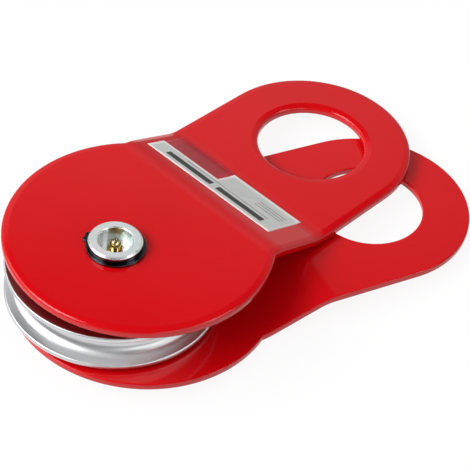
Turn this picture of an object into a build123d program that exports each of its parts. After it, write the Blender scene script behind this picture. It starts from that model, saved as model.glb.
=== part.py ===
"""Snatch block: a grooved sheave on a greased pin between two pressed side plates that swing apart.

Millimetres. The pin's axis is Z, and the origin lies on it, halfway between the two side plates.
The lower plate points along +X. The upper plate is the same pressing turned over and swung open.
"""
import math
import os

from build123d import *

os.makedirs("parts", exist_ok=True)

# Side plates
plate_thickness = 4.0
plate_gap = 24.0            # between the inner faces, where the sheave turns
disc_radius = 60.3          # the round cheek that covers the sheave
disc_offset = 14.65         # the cheek's centre lies this far from the pin, towards the eye
eye_reach = 128.0           # pin axis to the centre of the eye
eye_radius = 47.5
eye_hole_radius = 25.6
eye_gap = 1.3               # between the two eyes when the block is closed
neck_angle = 53.3           # where the neck leaves the cheek, seen from the cheek's centre, degrees
notch_radius = 2.0          # inside corner between cheek and neck
joggle_start = 52.0         # first bend, from the pin axis
joggle_end = 82.0           # second bend
bend_radius = 24.0          # at the middle of the sheet
coat_radius = 0.5           # coated edges of the inner face
roll_width = 3.2            # the cut draws the edges of the outer face in: from this far inside them
roll_depth = 0.6            # and down by this much
roll_radius = 1.4           # where the drawn edge turns into the cut side
swing_angle = 20.1          # how far the upper plate stands open, degrees

# Fits
running_clearance = 0.05    # radial, bush on pin, and axial, hub on washer
plate_clearance = 0.08      # radial, plate on pin
washer_clearance = 0.2      # radial, washer on pin
ring_clearance = 0.05       # retaining ring in its groove
seat_clearance = 0.05       # ball and spring in the nipple
tolerance = 0.01            # for picking faces and corners by their place

# Sheave, its bush and the thrust washers
sheave_radius = 48.0
rope_diameter = 12.0        # largest rope
rope_room = 1.05            # groove radius over rope radius
groove_depth = 7.8
groove_flare = 20.0         # flank angle from the sheave's plane, degrees
hub_step = 0.5              # how far the hub stands out beside the rim
hub_wall = 6.0
rim_round = 0.8
end_play = 1.95
bush_wall = 3.0
bush_pocket = 0.6           # depth of the grease pocket inside the bush
bush_pocket_width = 5.0
washer_thickness = 1.0
washer_width = 6.0

# Pin
pin_radius = 12.0
pin_proud = 4.4             # each end stands this far out of its plate
pin_chamfer = 0.8
socket_radius = 7.7
socket_depth = 7.5
socket_chamfer = 0.4
passage_radius = 1.5        # grease drilling
centre_mark_radius = 2.0    # lathe centre in the plain end

# Retaining rings
ring_thickness = 1.2
ring_groove_depth = 0.55
ring_width_back = 2.1       # radial width opposite the ears
ring_width_front = 1.5      # and beside them
ring_play = 0.1             # ring to plate
ear_radius = 1.4
ear_reach = 14.6            # pin axis to the tip of the ears
ear_spread = 6.0            # each ear from the middle of the gap, degrees
ear_hole_radius = 0.65
ring_opening = 0.5
upper_ear_heading = 136.0   # degrees from +X
lower_ear_heading = 44.0

# Grease nipple
nipple_flats = 7.0
nipple_hex_height = 2.6
nipple_hex_chamfer = 0.3
nipple_thread_radius = 3.0
nipple_thread_length = 5.5
nipple_thread_room = 1.0    # left under the nipple
nipple_neck_radius = 1.95
nipple_neck_height = 1.2
nipple_head_radius = 2.6
nipple_head_height = 3.2
nipple_head_round = 3.4     # radius of its curved side
nipple_tip_radius = 1.4
chamber_radius = 1.4
chamber_floor = 0.8
chamber_inlet_radius = 0.8
tip_lip = 0.15
crimp_radius = 0.7          # hole in the chamber's floor
ball_radius = 1.2
spring_wire = 0.35
spring_turns = 6

# Places that follow from the sizes above
half_gap = plate_gap / 2
half_width = half_gap + plate_thickness
cheek_middle = half_gap + plate_thickness / 2
eye_middle = (eye_gap + plate_thickness) / 2
pin_end = half_width + pin_proud
socket_floor = pin_end - socket_depth

hub_bottom = -half_gap + washer_thickness + running_clearance
hub_length = plate_gap - 2 * washer_thickness - running_clearance - end_play
hub_top = hub_bottom + hub_length
sheave_middle = hub_bottom + hub_length / 2
rim_half = hub_length / 2 - hub_step
bush_bore = pin_radius + running_clearance
bush_radius = bush_bore + bush_wall
hub_radius = bush_radius + hub_wall
groove_radius = rope_diameter / 2 * rope_room

ring_seat = pin_radius - ring_groove_depth

chamber_bottom = socket_floor - nipple_thread_length + chamber_floor
nipple_tip = socket_floor + nipple_hex_height + nipple_neck_height + nipple_head_height
cone_top = nipple_tip - tip_lip
cone_bottom = cone_top - (chamber_radius - chamber_inlet_radius)
ball_height = cone_bottom + chamber_radius - (ball_radius + seat_clearance) * math.sqrt(2)
spring_radius = chamber_radius - seat_clearance - spring_wire / 2


def place(height=0.0, heading=0.0):
    """A level plane on the pin axis, turned about it."""
    return Plane((0, 0, height), x_dir=Vector(1, 0, 0).rotate(Axis.Z, heading))


def upright(heading=0.0):
    """An upright plane through the pin axis: its X runs outwards and its Y runs up."""
    out = Vector(1, 0, 0).rotate(Axis.Z, heading)
    return Plane((0, 0, 0), x_dir=out, z_dir=out.cross(Vector(0, 0, 1)))


def finish(builder, label):
    """Name a piece and write it."""
    builder.part.label = label
    export_step(builder.part, f"parts/{label}.step")


def rim(plate, radius, way):
    """The upper (way +1) or lower (-1) edge of a round cut side. What it is given runs on all round."""
    wall = plate.faces().filter_by(GeomType.CYLINDER).filter_by(
        lambda face: abs(face.normal_at().Z) < tolerance and abs(face.radius - radius) < tolerance
    )[0]
    level = wall.edges().filter_by(Axis.Z, reverse=True)
    return level.sort_by(lambda edge: way * edge.center().Z)[-1]


def sheet_face(plate, edge):
    """The face of the sheet, flat or bent, that ends at an edge of its cut side."""
    beside = plate.faces().filter_by(lambda face: edge in face.edges())
    return beside.sort_by(lambda face: abs(face.normal_at().Z))[-1]


def side_plate(label, side, heading):
    """One pressing: cheek, joggled neck and eye. side is +1 above the sheave and -1 below it."""
    plane = place(heading=heading)
    far_end = disc_offset - disc_radius
    eye_end = eye_reach + eye_radius
    with BuildPart() as plate:
        with BuildSketch(upright(heading)):
            with BuildLine():
                FilletPolyline(
                    (far_end, side * cheek_middle),
                    (joggle_start, side * cheek_middle),
                    (joggle_end, side * eye_middle),
                    (eye_end, side * eye_middle),
                    radius=bend_radius,
                )
            trace(line_width=plate_thickness)
        extrude(amount=disc_radius, both=True)

        with BuildSketch(plane) as outline:
            with BuildLine():
                notch = Vector(disc_offset, 0) + Vector(disc_radius, 0).rotate(Axis.Z, neck_angle)
                eye_circle = CenterArc((eye_reach, 0), eye_radius, 0, 360, mode=Mode.PRIVATE)
                edge = ConstrainedLines(
                    eye_circle, notch, selector=lambda lines: lines.sort_by(Axis.Y)[-1]
                )
                touch = edge.vertices().sort_by(Axis.X)[-1]
                mirror(edge, about=Plane.XZ)
                ThreePointArc(touch, (eye_end, 0), (touch.X, -touch.Y))
                ThreePointArc(notch, (far_end, 0), (notch.X, -notch.Y))
            make_face()
            corners = outline.vertices().filter_by_position(
                Axis.X, notch.X - tolerance, notch.X + tolerance
            )
            fillet(corners, notch_radius)
            with Locations((eye_reach, 0)):
                Circle(eye_hole_radius, mode=Mode.SUBTRACT)
        extrude(amount=half_width, both=True, mode=Mode.INTERSECT)

        for radius in (disc_radius, eye_hole_radius):
            fillet(rim(plate, radius, -side), coat_radius)
            outer_rim = rim(plate, radius, side)
            chamfer(outer_rim, roll_width, roll_depth, reference=sheet_face(plate, outer_rim))
            fillet(rim(plate, radius, side), roll_radius)

        with BuildSketch(plane):
            Circle(pin_radius + plate_clearance)
        extrude(amount=half_width, both=True, mode=Mode.SUBTRACT)
    finish(plate, label)


def sheave():
    """The turned wheel with its rope groove."""
    flare = math.radians(groove_flare)
    root = sheave_radius - groove_depth
    arc_centre = root + groove_radius
    turn_in = (arc_centre - groove_radius * math.sin(flare), groove_radius * math.cos(flare))
    mouth = turn_in[1] + (sheave_radius - turn_in[0]) * math.tan(flare)
    with BuildPart() as wheel:
        with BuildSketch(Plane.XZ) as section:
            with BuildLine() as half:
                Polyline(
                    (root, 0),
                    (bush_radius, 0),
                    (bush_radius, hub_length / 2),
                    (hub_radius, hub_length / 2),
                    (hub_radius + hub_step, rim_half),
                    (sheave_radius, rim_half),
                    (sheave_radius, mouth),
                    turn_in,
                )
                RadiusArc(turn_in, (root, 0), -groove_radius)
            make_face()
            lip = section.vertices().filter_by_position(
                Axis.X, sheave_radius - tolerance, sheave_radius + tolerance
            )
            fillet(lip, rim_round)
            mirror(about=Plane.XZ)
        revolve(axis=Axis.Z)
        wheel.part.position = (0, 0, sheave_middle)
    finish(wheel, "sheave")


def sheave_bush():
    """The bronze bush pressed into the sheave, with a grease pocket round the middle of its bore."""
    with BuildPart() as bush:
        with BuildSketch(place(hub_bottom)):
            Circle(bush_radius)
            Circle(bush_bore, mode=Mode.SUBTRACT)
        extrude(amount=hub_length)
        with BuildSketch(place(sheave_middle)):
            Circle(bush_bore + bush_pocket)
        extrude(amount=bush_pocket_width / 2, both=True, mode=Mode.SUBTRACT)
    finish(bush, "sheave_bush")


def thrust_washer(label, bottom):
    """A flat washer round the pin."""
    bore = pin_radius + washer_clearance
    with BuildPart() as washer:
        with BuildSketch(place(bottom)):
            Circle(bore + washer_width)
            Circle(bore, mode=Mode.SUBTRACT)
        extrude(amount=washer_thickness)
    finish(washer, label)


def centre_pin():
    """The turned pin: a ring groove near each end, and a socket in the top for the nipple."""
    with BuildPart() as pin:
        Cylinder(pin_radius, 2 * pin_end)
        chamfer(pin.edges().filter_by(GeomType.CIRCLE), pin_chamfer)

        with BuildSketch(place(pin_end)):
            Circle(socket_radius)
        extrude(amount=-socket_depth, mode=Mode.SUBTRACT)
        mouth = pin.edges().filter_by(GeomType.CIRCLE).group_by(Axis.Z)[-1].sort_by(SortBy.RADIUS)[0]
        chamfer(mouth, socket_chamfer)

        with BuildSketch(place(socket_floor)):
            Circle(nipple_thread_radius)
        extrude(amount=-(nipple_thread_length + nipple_thread_room), mode=Mode.SUBTRACT)
        with BuildSketch(place(sheave_middle)):
            Circle(passage_radius)
        extrude(amount=socket_floor - sheave_middle, mode=Mode.SUBTRACT)
        with BuildSketch(Plane.YZ):
            with Locations((0, sheave_middle)):
                Circle(passage_radius)
        extrude(amount=bush_radius, mode=Mode.SUBTRACT)

        with BuildSketch(Plane.XZ):
            Polygon(
                (0, -pin_end),
                (centre_mark_radius, -pin_end),
                (0, -pin_end + centre_mark_radius),
                align=None,
            )
        revolve(axis=Axis.Z, mode=Mode.SUBTRACT)

        for side in (1, -1):
            near = side * (half_width + ring_play - ring_clearance)
            with BuildSketch(place(near)):
                Circle(ear_reach)
                Circle(ring_seat, mode=Mode.SUBTRACT)
            extrude(amount=side * (ring_thickness + 2 * ring_clearance), mode=Mode.SUBTRACT)
    finish(pin, "centre_pin")


def retaining_ring(label, side, heading):
    """An external ring: widest opposite its gap, with two holed ears for the pliers."""
    bore = ring_seat + ring_clearance
    outer = bore + (ring_width_back + ring_width_front) / 2
    shift = (ring_width_back - ring_width_front) / 2
    near = side * (half_width + ring_play)
    ear_places = [
        Vector(ear_reach - ear_radius, 0).rotate(Axis.Z, turn) for turn in (ear_spread, -ear_spread)
    ]
    with BuildPart() as ring:
        with BuildSketch(place(near, heading)):
            with Locations((-shift, 0)):
                Circle(outer)
            with Locations(*ear_places):
                Circle(ear_radius)
            Circle(bore, mode=Mode.SUBTRACT)
            Rectangle(ear_reach, ring_opening, align=(Align.MIN, Align.CENTER), mode=Mode.SUBTRACT)
            with Locations(*ear_places):
                Circle(ear_hole_radius, mode=Mode.SUBTRACT)
        extrude(amount=side * ring_thickness)
    finish(ring, label)


def grease_nipple():
    """A straight nipple: threaded shank, hexagon, neck and head, bored for its ball and spring."""
    hex_top = socket_floor + nipple_hex_height
    neck_top = hex_top + nipple_neck_height
    shank_end = socket_floor - nipple_thread_length
    shoulder = (nipple_head_radius, neck_top + nipple_head_radius - nipple_neck_radius)
    with BuildPart() as nipple:
        with BuildSketch(place(socket_floor)):
            RegularPolygon(nipple_flats / 2, 6, major_radius=False)
        extrude(amount=nipple_hex_height)
        chamfer(nipple.faces().sort_by(Axis.Z)[-1].edges(), nipple_hex_chamfer)
        with BuildSketch(Plane.XZ):
            with BuildLine():
                Polyline(
                    (nipple_tip_radius, nipple_tip),
                    (0, nipple_tip),
                    (0, shank_end),
                    (nipple_thread_radius - seat_clearance, shank_end),
                    (nipple_thread_radius - seat_clearance, socket_floor),
                    (nipple_neck_radius, hex_top),
                    (nipple_neck_radius, neck_top),
                    shoulder,
                )
                RadiusArc(shoulder, (nipple_tip_radius, nipple_tip), -nipple_head_round)
            make_face()
        revolve(axis=Axis.Z)
        with BuildSketch(Plane.XZ):
            Polygon(
                (0, shank_end),
                (crimp_radius, shank_end),
                (crimp_radius, chamber_bottom),
                (chamber_radius, chamber_bottom),
                (chamber_radius, cone_bottom),
                (chamber_inlet_radius, cone_top),
                (chamber_inlet_radius, nipple_tip),
                (0, nipple_tip),
                align=None,
            )
        revolve(axis=Axis.Z, mode=Mode.SUBTRACT)
    finish(nipple, "grease_nipple")


def nipple_ball():
    """The ball that shuts the nipple, just under its seat."""
    with BuildPart() as ball:
        with Locations((0, 0, ball_height)):
            Sphere(ball_radius)
    finish(ball, "nipple_ball")


def nipple_spring():
    """The wire spring under the ball."""
    reach = ball_radius + spring_wire / 2 + seat_clearance
    top = ball_height - math.sqrt(reach**2 - spring_radius**2)
    bottom = chamber_bottom + spring_wire / 2 + seat_clearance
    with BuildPart() as spring:
        with BuildLine():
            coil = Helix((top - bottom) / spring_turns, top - bottom, spring_radius, center=(0, 0, bottom))
        with BuildSketch(Plane(coil @ 0, z_dir=coil % 0)):
            Circle(spring_wire / 2)
        sweep(is_frenet=True)
    finish(spring, "nipple_spring")


side_plate("lower_side_plate", -1, 0)
side_plate("upper_side_plate", 1, swing_angle)
sheave()
sheave_bush()
thrust_washer("lower_thrust_washer", -half_gap)
thrust_washer("upper_thrust_washer", hub_top)
centre_pin()
retaining_ring("upper_retaining_ring", 1, upper_ear_heading)
retaining_ring("lower_retaining_ring", -1, lower_ear_heading)
grease_nipple()
nipple_ball()
nipple_spring()
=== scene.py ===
"""Looks of the snatch block: finishes, the film on the upper plate, the table it lies on, light and camera.

Metres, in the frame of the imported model: the pin's axis is Z, and +X runs along the lower plate.
"""
import math

import bmesh
import bpy
from mathutils import Matrix, Vector


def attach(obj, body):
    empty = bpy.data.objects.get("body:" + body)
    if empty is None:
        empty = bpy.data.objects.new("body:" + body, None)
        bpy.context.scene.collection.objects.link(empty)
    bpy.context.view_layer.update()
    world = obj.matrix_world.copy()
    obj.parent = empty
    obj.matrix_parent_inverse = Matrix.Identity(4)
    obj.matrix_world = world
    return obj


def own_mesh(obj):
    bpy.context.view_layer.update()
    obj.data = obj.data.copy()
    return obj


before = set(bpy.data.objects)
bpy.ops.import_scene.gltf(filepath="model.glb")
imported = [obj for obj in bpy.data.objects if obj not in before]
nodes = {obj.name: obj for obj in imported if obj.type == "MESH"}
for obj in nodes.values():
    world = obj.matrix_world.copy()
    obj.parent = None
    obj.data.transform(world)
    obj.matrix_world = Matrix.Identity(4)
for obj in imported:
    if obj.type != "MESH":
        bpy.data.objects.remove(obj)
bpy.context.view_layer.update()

mm = 0.001


# Helpers for node trees and objects


def put(tree, socket, value):
    """Gives a socket a value, or a link from another socket."""
    if isinstance(value, bpy.types.NodeSocket):
        tree.links.new(value, socket)
    else:
        socket.default_value = value


def add_node(tree, kind, inputs=(), **settings):
    """Adds a node. inputs holds pairs of a socket's name or number and a value or another socket."""
    node = tree.nodes.new(kind)
    for key, value in settings.items():
        setattr(node, key, value)
    for key, value in inputs:
        put(tree, node.inputs[key], value)
    return node


def add_object(name, data):
    """An object of the scene, with a mesh, lamp or camera as its data."""
    made = bpy.data.objects.new(name, data)
    bpy.context.scene.collection.objects.link(made)
    return made


def add_piece(name, shape):
    """An object with the faces of a bmesh, which is used up."""
    mesh = bpy.data.meshes.new(name)
    shape.to_mesh(mesh)
    shape.free()
    return add_object(name, mesh)


BEVEL_SAMPLES = 6
ALONG_MARKS = 0.004   # how slowly a turned finish changes along its tool marks


class Finish:
    """A material and its shader, with short calls that add and link nodes."""

    def __init__(self, name):
        self.material = bpy.data.materials.new(name)
        self.material.use_nodes = True
        self.tree = self.material.node_tree
        self.shader = self.tree.nodes["Principled BSDF"]
        self.place = self.add("ShaderNodeTexCoord").outputs["Object"]

    def add(self, kind, inputs=(), **settings):
        return add_node(self.tree, kind, inputs, **settings)

    def set(self, **values):
        """Sets sockets of the shader: base_color stands for Base Color."""
        for key, value in values.items():
            wanted = key.replace("_", " ")
            socket = next(s for s in self.shader.inputs if s.name.lower() == wanted)
            put(self.tree, socket, value)

    def math(self, operation, first, second=0.0):
        return self.add("ShaderNodeMath", [(0, first), (1, second)], operation=operation).outputs[0]

    def noise(self, where, scale, detail=2.0, roughness=0.5, distortion=0.0):
        inputs = [("Vector", where), ("Scale", scale), ("Detail", detail), ("Roughness", roughness),
                  ("Distortion", distortion)]
        return self.add("ShaderNodeTexNoise", inputs).outputs["Fac"]

    def blend(self, amount, low, high):
        """A colour between two, each given as red, green and blue or as a socket."""
        low, high = (end if isinstance(end, bpy.types.NodeSocket) else (*end, 1.0) for end in (low, high))
        return self.add("ShaderNodeMix", [(0, amount), (6, low), (7, high)], data_type="RGBA").outputs[2]

    def span(self, value, low, high, start=0.0, end=1.0):
        """Spreads value from start..end over low..high, held at both ends."""
        inputs = [("Value", value), ("From Min", start), ("From Max", end), ("To Min", low), ("To Max", high)]
        return self.add("ShaderNodeMapRange", inputs).outputs[0]

    def bump(self, *layers, rounding=0.0):
        """Stacks heights, each a pair of socket and depth in metres, over edges rounded by so many metres."""
        normal = None
        if rounding:
            normal = self.add("ShaderNodeBevel", [("Radius", rounding)], samples=BEVEL_SAMPLES).outputs[0]
        for height, depth in layers:
            inputs = [("Height", height), ("Distance", depth), ("Strength", 1.0)]
            if normal:
                inputs.append(("Normal", normal))
            normal = self.add("ShaderNodeBump", inputs).outputs[0]
        self.set(normal=normal)

    def lathe(self):
        """Place on a turned piece: across its tool marks in X and Y, and only slowly along them."""
        x, y, z = self.add("ShaderNodeSeparateXYZ", [(0, self.place)]).outputs
        radius = self.math("SQRT", self.math("ADD", self.math("MULTIPLY", x, x), self.math("MULTIPLY", y, y)))
        turn = self.math("MULTIPLY", self.math("ARCTAN2", y, x), ALONG_MARKS)
        return self.add("ShaderNodeCombineXYZ", [(0, radius), (1, z), (2, turn)]).outputs[0]


def linear(red, green, blue):
    """A colour given as 0 to 255 on screen, as the shader needs it."""
    def channel(value):
        value /= 255
        return value / 12.92 if value <= 0.04045 else ((value + 0.055) / 1.055) ** 2.4
    return channel(red), channel(green), channel(blue)


def wear(piece, *finishes):
    """Puts finishes into a piece's material slots, the first of them in place of what it had."""
    slots = piece.data.materials
    for index, finish in enumerate(finishes):
        if index < len(slots):
            slots[index] = finish.material
        else:
            slots.append(finish.material)


# Finishes


def red_coat():
    """Powder coat: glossy, with the soft ripple that it cures to."""
    coat = Finish("red_coat")
    cloud = coat.noise(coat.place, scale=22, detail=1)
    amount = coat.span(cloud, low=0, high=1, start=0.2, end=0.8)
    coat.set(
        base_color=coat.blend(amount, low=(0.655, 0.0014, 0.0045), high=(0.685, 0.0020, 0.0058)),
        roughness=coat.span(cloud, low=0.10, high=0.14, start=0.2, end=0.8),
        specular_ior_level=0.5,
    )
    ripple = coat.noise(coat.place, scale=260, detail=1)
    fine = coat.noise(coat.place, scale=900, detail=1)
    coat.bump((ripple, 0.012 * mm), (fine, 0.002 * mm), rounding=0.9 * mm)
    return coat


def turned_steel():
    """The sheave: fine concentric tool marks, satin bright."""
    steel = Finish("turned_steel")
    where = steel.lathe()
    fine = steel.noise(where, scale=2600)
    broad = steel.noise(where, scale=800, detail=1)
    patch = steel.noise(steel.place, scale=60, detail=1)
    amount = steel.span(broad, low=0, high=1, start=0.3, end=0.7)
    steel.set(
        base_color=steel.blend(amount, low=(0.635, 0.645, 0.66), high=(0.71, 0.715, 0.725)),
        metallic=1.0,
        roughness=steel.span(steel.math("ADD", fine, patch), low=0.34, high=0.42, start=0.6, end=1.4),
        anisotropic=0.7,
        tangent=steel.add("ShaderNodeTangent", direction_type="RADIAL", axis="Z").outputs[0],
    )
    steel.bump((fine, 0.004 * mm), (broad, 0.010 * mm))
    return steel


PAINTED_SHADE_ENDS = (19.2 * mm, 19.8 * mm)    # painted shade on the shaft's side ends here, just short of both ends
PAINTED_SHADE_RADII = (10.0 * mm, 11.0 * mm)  # and lies only on its side, from this far off the axis


def zinc_plate():
    """The pin: bright zinc over turning marks, with the faint green and pink of its passivation, and painted
    shade that darkens the shaft's side where it would mirror the dark ring.
    """
    zinc = Finish("zinc_plate")
    fine = zinc.noise(zinc.lathe(), scale=1500)
    grain = zinc.noise(zinc.place, scale=1900)
    patch = zinc.noise(zinc.place, scale=190, distortion=0.6)
    # faced is 1 on the ends, which are rougher and grainy, and 0 on the sides
    normal = zinc.add("ShaderNodeNewGeometry").outputs["Normal"]
    upright = zinc.add("ShaderNodeSeparateXYZ", [(0, normal)]).outputs["Z"]
    faced = zinc.span(zinc.math("ABSOLUTE", upright), low=0.0, high=1.0, start=0.5, end=0.98)
    height = zinc.add("ShaderNodeSeparateXYZ", [(0, zinc.place)]).outputs["Z"]
    across = zinc.add("ShaderNodeVectorMath", [(0, zinc.place), (1, (1.0, 1.0, 0.0))], operation="MULTIPLY")
    radius = zinc.add("ShaderNodeVectorMath", [(0, across.outputs[0])], operation="LENGTH").outputs["Value"]
    # painted shade: the shaft's side between its ends is darkened in its colour, standing in for the dark
    # ring and room that it mirrors
    between_ends = zinc.span(zinc.math("ABSOLUTE", height), 1.0, 0.0, *PAINTED_SHADE_ENDS)
    painted_shade_side = zinc.math("MULTIPLY", between_ends, zinc.span(radius, 0.0, 1.0, *PAINTED_SHADE_RADII))
    amount = zinc.span(patch, low=0, high=1, start=0.35, end=0.65)
    bright = zinc.blend(amount, low=(0.80, 0.90, 0.88), high=(0.93, 0.90, 0.91))
    marks = zinc.span(fine, low=0.14, high=0.20, start=0.3, end=0.7)
    zinc.set(
        # the base colour turns near black on the shaft's side: a painted dark reflection, not a real finish
        base_color=zinc.blend(painted_shade_side, low=bright, high=(0.10, 0.105, 0.11)),
        metallic=zinc.span(faced, low=1.0, high=0.4),
        roughness=zinc.math("ADD", marks, zinc.math("MULTIPLY", faced, 0.26)),
    )
    zinc.bump((fine, 0.006 * mm), (zinc.math("MULTIPLY", grain, faced), 0.03 * mm), rounding=0.35 * mm)
    return zinc


def metal(name, low, high, rough, scale=900, depth=0.008 * mm, turned=True, rounding=0.0):
    """A plain metal between two tones and two roughnesses, with marks of its making."""
    made = Finish(name)
    where = made.lathe() if turned else made.place
    marks = made.noise(where, scale=4 * scale, detail=3, roughness=0.6)
    patch = made.noise(made.place, scale=scale / 4, detail=3)
    made.set(
        base_color=made.blend(made.span(patch, low=0, high=1, start=0.35, end=0.65), low, high),
        metallic=1.0,
        roughness=made.span(marks, *rough, start=0.3, end=0.7),
    )
    made.bump((marks, depth), rounding=rounding)
    return made


def film(name, low, high):
    """Printed film: a flat tone with a slight unevenness and the ripple of the coat below."""
    made = Finish(name)
    patch = made.noise(made.place, scale=160, detail=3)
    made.set(
        base_color=made.blend(made.span(patch, low=0, high=1, start=0.35, end=0.65), low, high),
        roughness=made.span(patch, low=0.28, high=0.38, start=0.3, end=0.7),
        specular_ior_level=0.4,
    )
    made.bump((made.noise(made.place, scale=420), 0.02 * mm))
    return made


coat = red_coat()
ground = metal("washer_steel", (0.38, 0.385, 0.40), (0.52, 0.53, 0.55), rough=(0.25, 0.42))
black = metal(
    "black_spring_steel", (0.07, 0.076, 0.088), (0.145, 0.153, 0.174), rough=(0.10, 0.16),
    turned=False, rounding=0.45 * mm,
)
polished = metal("ball_steel", (0.55, 0.56, 0.58), (0.68, 0.69, 0.71), rough=(0.08, 0.16), depth=0.002 * mm)
wear(nodes["lower_side_plate"], coat)
wear(nodes["upper_side_plate"], coat)
wear(nodes["sheave"], turned_steel())
wear(nodes["centre_pin"], zinc_plate())
wear(nodes["sheave_bush"], metal("bronze", (0.42, 0.23, 0.09), (0.56, 0.33, 0.14), rough=(0.25, 0.4)))
wear(nodes["lower_thrust_washer"], ground)
wear(nodes["upper_thrust_washer"], ground)
wear(nodes["upper_retaining_ring"], black)
wear(nodes["lower_retaining_ring"], black)
wear(nodes["grease_nipple"], metal(
    "nipple_brass", (0.58, 0.40, 0.14), (0.80, 0.64, 0.34), rough=(0.08, 0.16),
    scale=500, depth=0.003 * mm, rounding=0.25 * mm,
))
wear(nodes["nipple_ball"], polished)
wear(nodes["nipple_spring"], polished)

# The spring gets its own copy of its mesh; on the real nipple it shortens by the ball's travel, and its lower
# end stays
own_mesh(nodes["nipple_spring"])


# The printed film on the slope of the upper plate

# Sizes in mm, in that plate's own frame: s runs from the pin axis towards the eye, and n to the left of it
PLATE_MIDDLE = 14.0          # height of the cheek's sheet, middle of its thickness
EYE_MIDDLE = 2.65            # and of the eye's sheet
HALF_SHEET = 2.0
FIRST_BEND = 52.0            # s of the bends
SECOND_BEND = 82.0
BEND_RADIUS = 24.0           # at the middle of the sheet
SWING = math.radians(20.1)   # the upper plate's heading
FILM = 0.08                  # thickness of the film
ON_PLATE = 0.0               # its underside, above the plate


def top_of_plate(s, proud):
    """Height of the upper plate's top face at s along the plate, raised square to it by proud."""
    slope = math.atan2(EYE_MIDDLE - PLATE_MIDDLE, SECOND_BEND - FIRST_BEND)
    lift = HALF_SHEET + proud
    tangent = BEND_RADIUS * math.tan(abs(slope) / 2)
    cos, sin = math.cos(slope), math.sin(slope)
    outer, inner = BEND_RADIUS + lift, BEND_RADIUS - lift
    first = Vector((FIRST_BEND - tangent, PLATE_MIDDLE - BEND_RADIUS))
    second = Vector((SECOND_BEND + tangent, EYE_MIDDLE + BEND_RADIUS))
    if s <= first.x:
        return PLATE_MIDDLE + lift
    if s < first.x - outer * sin:
        return first.y + math.sqrt(outer**2 - (s - first.x) ** 2)
    if s < second.x + inner * sin:
        return PLATE_MIDDLE + lift / cos + (s - FIRST_BEND) * math.tan(slope)
    if s < second.x:
        return second.y - math.sqrt(inner**2 - (s - second.x) ** 2)
    return EYE_MIDDLE + lift


# The film's outline: a narrow part to the left of the step, and a wide part to the right
LONG_EDGE, NARROW_EDGE, WIDE_EDGE = 60.0, 71.0, 82.6
RIGHT_END, STEP, LEFT_END = -35.2, 7.0, 42.4
MARGIN = 1.4                 # width of its white border
CRIMSON_EDGE, CRIMSON_END = WIDE_EDGE + 0.6, LEFT_END - 1.0
# What stands on it, in place of print
BAR, BAR_ENDS = (63.2, 66.6), ((-27.0, 1.5), (5.0, 33.5))
LINE, LINE_ENDS = (68.4, 68.9), (-27.0, 24.0)
GREY_ROWS, GREY_WIDTH, GREY_ENDS = (72.6, 74.6, 76.6), 0.5, (-31.0, -15.0)
RULES, FIRST_RULE, RULE_PITCH, RULE_WIDTH = 5, NARROW_EDGE + 1.6, 2.0, 0.7
RULE_ENDS = (STEP + 3.0, LEFT_END - 5.0)
ROW_PITCH = 1.0              # at most this far apart, the faces follow the bend

# Fields of the film, each s from, s to, n from, n to and a finish; the last that holds a point wins
WHITE, BORDER, CRIMSON, DARK, GREY, MAROON = range(6)
fields = [
    (LONG_EDGE, WIDE_EDGE, RIGHT_END, STEP, BORDER),
    (LONG_EDGE, NARROW_EDGE, STEP, LEFT_END, BORDER),
    (LONG_EDGE + MARGIN, WIDE_EDGE - MARGIN, RIGHT_END + MARGIN, STEP - MARGIN, WHITE),
    (LONG_EDGE + MARGIN, NARROW_EDGE - MARGIN, STEP - MARGIN, LEFT_END - MARGIN, WHITE),
    (NARROW_EDGE, CRIMSON_EDGE, STEP, CRIMSON_END, CRIMSON),
]
fields += [(*BAR, *ends, DARK) for ends in BAR_ENDS]
fields += [(*LINE, *LINE_ENDS, GREY)]
fields += [(row, row + GREY_WIDTH, *GREY_ENDS, GREY) for row in GREY_ROWS]
for rule in range(RULES):
    row = FIRST_RULE + RULE_PITCH * rule
    fields.append((row, row + RULE_WIDTH, *RULE_ENDS, MAROON))


def finish_at(s, n):
    """The finish of the last field that holds a point, or None."""
    held = [kind for s0, s1, n0, n1, kind in fields if s0 <= s <= s1 and n0 <= n <= n1]
    return held[-1] if held else None


def make_film():
    """A thin closed sheet that follows the plate, cut along the edges of its fields."""
    across = {s for field in fields for s in field[:2]}
    steps = math.ceil((CRIMSON_EDGE - LONG_EDGE) / ROW_PITCH)
    across |= {LONG_EDGE + ROW_PITCH * step for step in range(steps)}
    rows = sorted(across)
    columns = sorted({n for field in fields for n in field[2:4]})
    cells = {}
    for i, (s0, s1) in enumerate(zip(rows, rows[1:])):
        for j, (n0, n1) in enumerate(zip(columns, columns[1:])):
            kind = finish_at((s0 + s1) / 2, (n0 + n1) / 2)
            if kind is not None:
                cells[i, j] = (s0, s1, n0, n1, kind)

    turn = Matrix.Rotation(SWING, 4, "Z")
    shape = bmesh.new()
    corners = {}

    def face(finish, *places):
        """A face between places, each s, n and how far above the plate."""
        for place in places:
            if place not in corners:
                s, n, proud = place
                corners[place] = shape.verts.new(turn @ Vector((s, n, top_of_plate(s, proud))) * mm)
        made = shape.faces.new([corners[place] for place in places])
        made.material_index = finish
        return made

    for (i, j), (s0, s1, n0, n1, kind) in cells.items():
        ring = [(s0, n0), (s1, n0), (s1, n1), (s0, n1)]
        face(kind, *((*spot, FILM) for spot in ring)).smooth = True
        face(BORDER, *((*spot, ON_PLATE) for spot in reversed(ring)))
        beside = [(i, j - 1), (i + 1, j), (i, j + 1), (i - 1, j)]
        for a, b, neighbour in zip(ring, ring[1:] + ring[:1], beside):
            if neighbour not in cells:
                face(kind, (*a, ON_PLATE), (*b, ON_PLATE), (*b, FILM), (*a, FILM))
    return add_piece("printed_film", shape)


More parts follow.
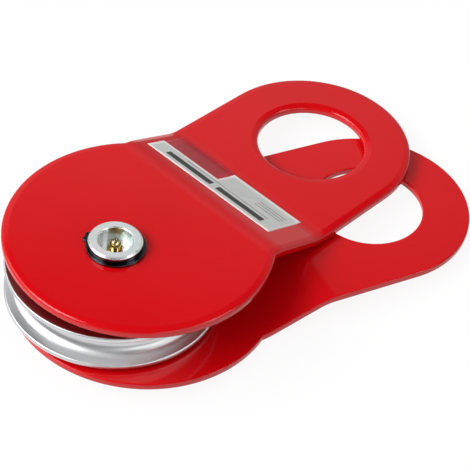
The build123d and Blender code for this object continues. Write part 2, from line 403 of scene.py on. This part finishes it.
label = make_film()
wear(
    label,
    film("film_white", linear(206, 210, 209), linear(216, 219, 217)),
    film("film_border", linear(246, 232, 230), linear(250, 240, 238)),
    film("film_crimson", linear(184, 17, 33), linear(192, 22, 40)),
    film("film_dark", linear(30, 34, 34), linear(44, 48, 47)),
    film("film_grey", linear(128, 133, 133), linear(142, 146, 146)),
    film("film_maroon", linear(140, 20, 34), linear(150, 26, 40)),
)
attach(label, "upper_side")


# Table: the block lies on the pin's lower end, the edge of its lower cheek and the rim of the lower eye

REST_UP = Vector((-0.09701, -0.01633, 0.99515)).normalized()   # square to the table
FLOOR_REACH, FLOOR_SIDES = 4.0, 96
BLOCK_MIDDLE = Vector((0.065, 0.0, -0.02))
SHADOW_FADE = 0.90           # how much of the shadow is lightened near the block
SHADOW_REACH = (0.10, 0.40)  # metres from the block's middle over which the rest of it fades
PURE_WHITE = (1.0, 1.0, 1.0, 1.0)


def make_floor():
    """A white table with a soft shadow near the block, and with nothing of it seen from below.

    The light that it throws back is part of the world's light, so that the underside is lit too.
    """
    level = min(REST_UP.dot(vertex.co) for node in nodes.values() for vertex in node.data.vertices)
    turn = REST_UP.to_track_quat("Z", "Y").to_matrix().to_4x4()
    shape = bmesh.new()
    bmesh.ops.create_circle(
        shape, cap_ends=True, segments=FLOOR_SIDES, radius=FLOOR_REACH,
        matrix=Matrix.Translation(REST_UP * level) @ turn,
    )
    floor = add_piece("floor", shape)
    white = Finish("floor_white")
    lit = white.add("ShaderNodeBsdfDiffuse", [("Color", PURE_WHITE)])
    plain = white.add("ShaderNodeEmission", [("Color", PURE_WHITE), ("Strength", 1.0)])
    away = white.add("ShaderNodeVectorMath", [(0, white.place), (1, BLOCK_MIDDLE)], operation="DISTANCE")
    bare = white.span(away.outputs["Value"], SHADOW_FADE, 1.0, *SHADOW_REACH)
    pale = white.add("ShaderNodeMixShader", [(0, bare), (1, lit.outputs[0]), (2, plain.outputs[0])])
    clear = white.add("ShaderNodeBsdfTransparent")
    back = white.add("ShaderNodeNewGeometry").outputs["Backfacing"]
    either = white.add("ShaderNodeMixShader", [(0, back), (1, pale.outputs[0]), (2, clear.outputs[0])])
    put(white.tree, white.tree.nodes["Material Output"].inputs["Surface"], either.outputs[0])
    white.tree.nodes.remove(white.shader)
    wear(floor, white)
    floor.visible_diffuse = floor.visible_shadow = False


make_floor()


# Light: what shiny things see of the room, and the level of the light on everything else

FAR_SIDE = 60.0              # heading of the wall that faces the camera, degrees from +X
HORIZON, LEFT_HORIZON = 0.60, 0.26
FAR_WALL, FAR_CORNER, NEAR_WALL, CEILING = 0.53, 0.34, 0.33, 0.02
# Where one gives way to the next, as cosines of the angle to a direction
TO_CORNER, FROM_LEFT_HORIZON = (0.0, 0.16), (0.11, 0.23)   # to the right of the far wall
TO_FAR_WALL = (-0.7, 0.3)                                  # to the far wall
WALL_TOP = (0.57, 0.71)                                    # to straight up from the table
# Bright places that only shiny things see: heading, height, full and outer radius in degrees, radiance
WINDOWS = [(318, 44, 7, 15, 3.2), (130, 36, 4, 12, 3.2), (171, 43, 14, 24, 6.0)]
FILL_SIDE = 135.0            # heading that most of the plain light comes from
FILL_RISE = 0.8              # and its rise for each unit along that heading
LOW_FILL, HIGH_FILL, TABLE_FILL = 0.08, 0.58, 0.48
FILL_TURN, TABLE_TURN = (-0.9, 0.9), (-0.15, 0.05)


def aim(azimuth, elevation=0.0):
    """The direction at a heading and height in degrees."""
    a, e = math.radians(azimuth), math.radians(elevation)
    return Vector((math.cos(a) * math.cos(e), math.sin(a) * math.cos(e), math.sin(e)))


def make_world():
    """Plain light from all round. Shiny things see a room with a bright horizon, walls and windows."""
    world = bpy.data.worlds.new("studio")
    bpy.context.scene.world = world
    world.use_nodes = True
    tree = world.node_tree
    place = add_node(tree, "ShaderNodeTexCoord").outputs["Generated"]

    def along(direction):
        inputs = [(0, place), (1, direction)]
        return add_node(tree, "ShaderNodeVectorMath", inputs, operation="DOT_PRODUCT").outputs["Value"]

    def spread(value, start, end, low, high):
        inputs = [("From Min", start), ("From Max", end), ("To Min", low), ("To Max", high), ("Value", value)]
        return add_node(tree, "ShaderNodeMapRange", inputs, interpolation_type="SMOOTHSTEP").outputs[0]

    def combine(first, second, operation):
        return add_node(tree, "ShaderNodeMath", [(0, first), (1, second)], operation=operation).outputs[0]

    rise = along(REST_UP)
    sideways = along(aim(FAR_SIDE - 90))
    corner = spread(sideways, *TO_CORNER, FAR_WALL, FAR_CORNER)
    horizon = spread(sideways, *FROM_LEFT_HORIZON, LEFT_HORIZON, HORIZON)
    far = spread(rise, 0.0, WALL_TOP[0], horizon, corner)
    wall = spread(along(aim(FAR_SIDE)), *TO_FAR_WALL, NEAR_WALL, far)
    shown = spread(rise, *WALL_TOP, wall, CEILING)
    for azimuth, elevation, inner, outer, radiance in WINDOWS:
        near, away = math.cos(math.radians(inner)), math.cos(math.radians(outer))
        shown = combine(shown, spread(along(aim(azimuth, elevation)), away, near, 0.0, radiance), "ADD")
    fill = spread(along(aim(FILL_SIDE) + Vector((0, 0, FILL_RISE))), *FILL_TURN, LOW_FILL, HIGH_FILL)
    fill = spread(rise, *TABLE_TURN, TABLE_FILL, fill)
    path = add_node(tree, "ShaderNodeLightPath").outputs
    seen = combine(path["Is Camera Ray"], path["Is Glossy Ray"], "MAXIMUM")
    seen = combine(seen, path["Is Transmission Ray"], "MAXIMUM")
    white = combine(path["Is Camera Ray"], shown, "MAXIMUM")
    strength = add_node(tree, "ShaderNodeMix", [(0, seen), (2, fill), (3, white)]).outputs[0]
    background = tree.nodes["Background"]
    put(tree, background.inputs["Color"], PURE_WHITE)
    put(tree, background.inputs["Strength"], strength)


LAMP_TARGET = Vector((0.06, 0.0, 0.0))


def softbox(name, azimuth, elevation, distance, width, height, radiance, mirrored=True):
    """A rectangular lamp that looks at the block from a heading and height in degrees."""
    towards = aim(azimuth, elevation)
    light = bpy.data.lights.new(name, "AREA")
    light.shape = "RECTANGLE"
    light.size, light.size_y = width, height
    light.energy = math.pi * width * height * radiance
    lamp = add_object(name, light)
    turn = towards.to_track_quat("Z", "Y").to_matrix().to_4x4()
    lamp.matrix_world = Matrix.Translation(LAMP_TARGET + towards * distance) @ turn
    lamp.visible_camera = False
    lamp.visible_glossy = mirrored


make_world()
softbox("left", azimuth=171, elevation=36, distance=2.4, width=2.4, height=0.95, radiance=7.4, mirrored=False)
softbox("right", azimuth=-75, elevation=24, distance=2.4, width=2.0, height=1.0, radiance=1.6)


# Camera, at the place that the outlines of both plates, the sheave and the pin give

AZIMUTH, ELEVATION, ROLL = (math.radians(angle) for angle in (-30.14, 43.45, -6.711))
LENS, SENSOR, NEAREST = 139.68, 36.0, 0.01
CAMERA_PLACE = (0.0532, 0.01656, 0.800)   # right, up and back from the origin


def make_camera():
    data = bpy.data.cameras.new("camera")
    data.lens, data.sensor_width, data.clip_start = LENS, SENSOR, NEAREST
    sin_a, cos_a = math.sin(AZIMUTH), math.cos(AZIMUTH)
    sin_e, cos_e = math.sin(ELEVATION), math.cos(ELEVATION)
    level_right = Vector((cos_a, sin_a, 0))
    level_up = Vector((-sin_a * sin_e, cos_a * sin_e, cos_e))
    back = Vector((sin_a * cos_e, -cos_a * cos_e, sin_e))
    right = level_right * math.cos(ROLL) - level_up * math.sin(ROLL)
    up = level_right * math.sin(ROLL) + level_up * math.cos(ROLL)
    turn = Matrix((right, up, back)).transposed().to_4x4()
    place = right * CAMERA_PLACE[0] + up * CAMERA_PLACE[1] + back * CAMERA_PLACE[2]
    camera = add_object("camera", data)
    camera.matrix_world = Matrix.Translation(place) @ turn
    bpy.context.scene.camera = camera


make_camera()
bpy.context.scene.view_settings.view_transform = "Standard"
